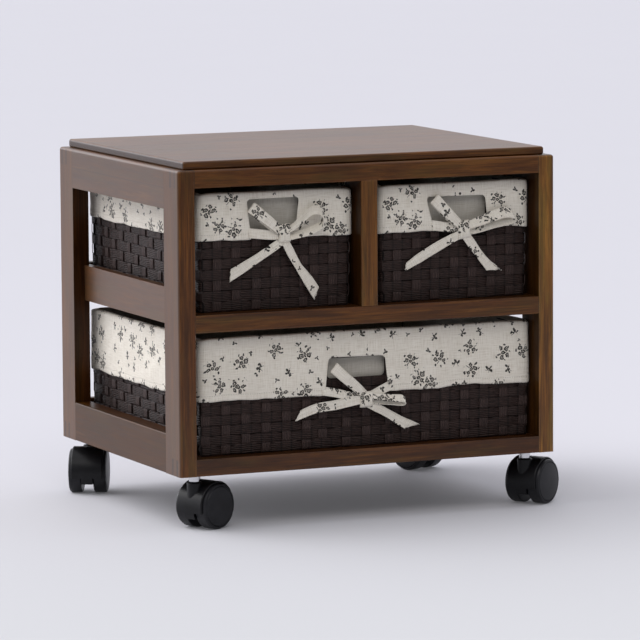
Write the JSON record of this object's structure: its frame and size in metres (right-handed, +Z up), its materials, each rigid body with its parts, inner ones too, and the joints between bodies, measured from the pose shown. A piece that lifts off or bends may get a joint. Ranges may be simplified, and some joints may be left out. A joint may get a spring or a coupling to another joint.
{
  "type": "storage chest on casters",
  "caption": "Low open wooden chest on swivel casters with sliding woven baskets, each lined with a printed cloth cuff tied in a bow.",
  "frame": {"origin": "on the floor, under the middle of the wooden frame", "axes": "+Z up, basket fronts face -Y, +X to the right seen from the front"},
  "size_m": [0.4829, 0.36, 0.4025],
  "materials": {
    "walnut": "dark walnut stain under satin lacquer",
    "dowel_wood": "bare beech",
    "paper_weave": "dark brown plaited paper straps",
    "basket_wire": "black coated wire",
    "printed_cotton": "cream cotton with a small black floral print",
    "chrome": "polished",
    "steel": "zinc plated",
    "nylon": "black moulded nylon",
    "brass": "plain"
  },
  "bodies": {
    "cabinet": {"back_bottom_rail": "walnut", "back_left_caster_stem": "chrome", "back_left_post": "walnut", "back_mid_rail": "walnut", "back_right_caster_stem": "chrome", "back_right_post": "walnut", "back_top_rail": "walnut", "caster_inserts": "brass", "frame_dowels": "dowel_wood", "frame_screws": "steel", "front_bottom_rail": "walnut", "front_divider": "walnut", "front_left_caster_stem": "chrome", "front_left_post": "walnut", "front_mid_rail": "walnut", "front_right_caster_stem": "chrome", "front_right_post": "walnut", "front_top_rail": "walnut", "left_bottom_rail": "walnut", "left_mid_rail": "walnut", "left_top_rail": "walnut", "lower_back_stop": "walnut", "lower_left_runner": "walnut", "lower_right_runner": "walnut", "right_bottom_rail": "walnut", "right_mid_rail": "walnut", "right_top_rail": "walnut", "top_board": "walnut", "top_board_screws": "steel", "upper_centre_runner": "walnut", "upper_left_runner": "walnut", "upper_right_runner": "walnut"},
    "upper_left_basket": {"upper_left_basket_bow": "printed_cotton", "upper_left_basket_liner": "printed_cotton", "upper_left_basket_wire_frame": "basket_wire", "upper_left_basket_woven_body": "paper_weave"},
    "upper_right_basket": {"upper_right_basket_bow": "printed_cotton", "upper_right_basket_liner": "printed_cotton", "upper_right_basket_wire_frame": "basket_wire", "upper_right_basket_woven_body": "paper_weave"},
    "lower_basket": {"lower_basket_bow": "printed_cotton", "lower_basket_liner": "printed_cotton", "lower_basket_wire_frame": "basket_wire", "lower_basket_woven_body": "paper_weave"},
    "front_left_caster": {"front_left_caster_hood": "nylon", "front_left_caster_axle": "steel"},
    "front_left_left_wheel": {"front_left_caster_left_wheel": "nylon"},
    "front_left_right_wheel": {"front_left_caster_right_wheel": "nylon"},
    "front_right_caster": {"front_right_caster_hood": "nylon", "front_right_caster_axle": "steel"},
    "front_right_left_wheel": {"front_right_caster_left_wheel": "nylon"},
    "front_right_right_wheel": {"front_right_caster_right_wheel": "nylon"},
    "back_left_caster": {"back_left_caster_hood": "nylon", "back_left_caster_axle": "steel"},
    "back_left_left_wheel": {"back_left_caster_left_wheel": "nylon"},
    "back_left_right_wheel": {"back_left_caster_right_wheel": "nylon"},
    "back_right_caster": {"back_right_caster_hood": "nylon", "back_right_caster_axle": "steel"},
    "back_right_left_wheel": {"back_right_caster_left_wheel": "nylon"},
    "back_right_right_wheel": {"back_right_caster_right_wheel": "nylon"}
  },
  "joints": [
    {"name": "upper_left_basket_slide", "type": "slide", "parent": "cabinet", "child": "upper_left_basket", "axis": [0, -1, 0], "range_m": [0, 0.26]},
    {"name": "upper_right_basket_slide", "type": "slide", "parent": "cabinet", "child": "upper_right_basket", "axis": [0, -1, 0], "range_m": [0, 0.26]},
    {"name": "lower_basket_slide", "type": "slide", "parent": "cabinet", "child": "lower_basket", "axis": [0, -1, 0], "range_m": [0, 0.26]},
    {"name": "front_left_swivel", "type": "hinge", "parent": "cabinet", "child": "front_left_caster", "pos_m": [-0.1995, -0.157, 0.045], "axis": [0, 0, 1], "continuous": true},
    {"name": "front_left_left_wheel_spin", "type": "hinge", "parent": "front_left_caster", "child": "front_left_left_wheel", "pos_m": [-0.18433, -0.14934, 0.025], "axis": [-0.4508, 0.8926, 0], "continuous": true},
    {"name": "front_left_right_wheel_spin", "type": "hinge", "parent": "front_left_caster", "child": "front_left_right_wheel", "pos_m": [-0.18433, -0.14934, 0.025], "axis": [-0.4508, 0.8926, 0], "continuous": true},
    {"name": "front_right_swivel", "type": "hinge", "parent": "cabinet", "child": "front_right_caster", "pos_m": [0.1995, -0.157, 0.045], "axis": [0, 0, 1], "continuous": true},
    {"name": "front_right_left_wheel_spin", "type": "hinge", "parent": "front_right_caster", "child": "front_right_left_wheel", "pos_m": [0.21341, -0.14722, 0.025], "axis": [-0.5751, 0.8181, 0], "continuous": true},
    {"name": "front_right_right_wheel_spin", "type": "hinge", "parent": "front_right_caster", "child": "front_right_right_wheel", "pos_m": [0.21341, -0.14722, 0.025], "axis": [-0.5751, 0.8181, 0], "continuous": true},
    {"name": "back_left_swivel", "type": "hinge", "parent": "cabinet", "child": "back_left_caster", "pos_m": [-0.1995, 0.157, 0.045], "axis": [0, 0, 1], "continuous": true},
    {"name": "back_left_left_wheel_spin", "type": "hinge", "parent": "back_left_caster", "child": "back_left_left_wheel", "pos_m": [-0.2074, 0.14195, 0.025], "axis": [0.8855, -0.4647, 0], "continuous": true},
    {"name": "back_left_right_wheel_spin", "type": "hinge", "parent": "back_left_caster", "child": "back_left_right_wheel", "pos_m": [-0.2074, 0.14195, 0.025], "axis": [0.8855, -0.4647, 0], "continuous": true},
    {"name": "back_right_swivel", "type": "hinge", "parent": "cabinet", "child": "back_right_caster", "pos_m": [0.1995, 0.157, 0.045], "axis": [0, 0, 1], "continuous": true},
    {"name": "back_right_left_wheel_spin", "type": "hinge", "parent": "back_right_caster", "child": "back_right_left_wheel", "pos_m": [0.20597, 0.14128, 0.025], "axis": [0.9246, 0.3809, 0], "continuous": true},
    {"name": "back_right_right_wheel_spin", "type": "hinge", "parent": "back_right_caster", "child": "back_right_right_wheel", "pos_m": [0.20597, 0.14128, 0.025], "axis": [0.9246, 0.3809, 0], "continuous": true}
  ]
}
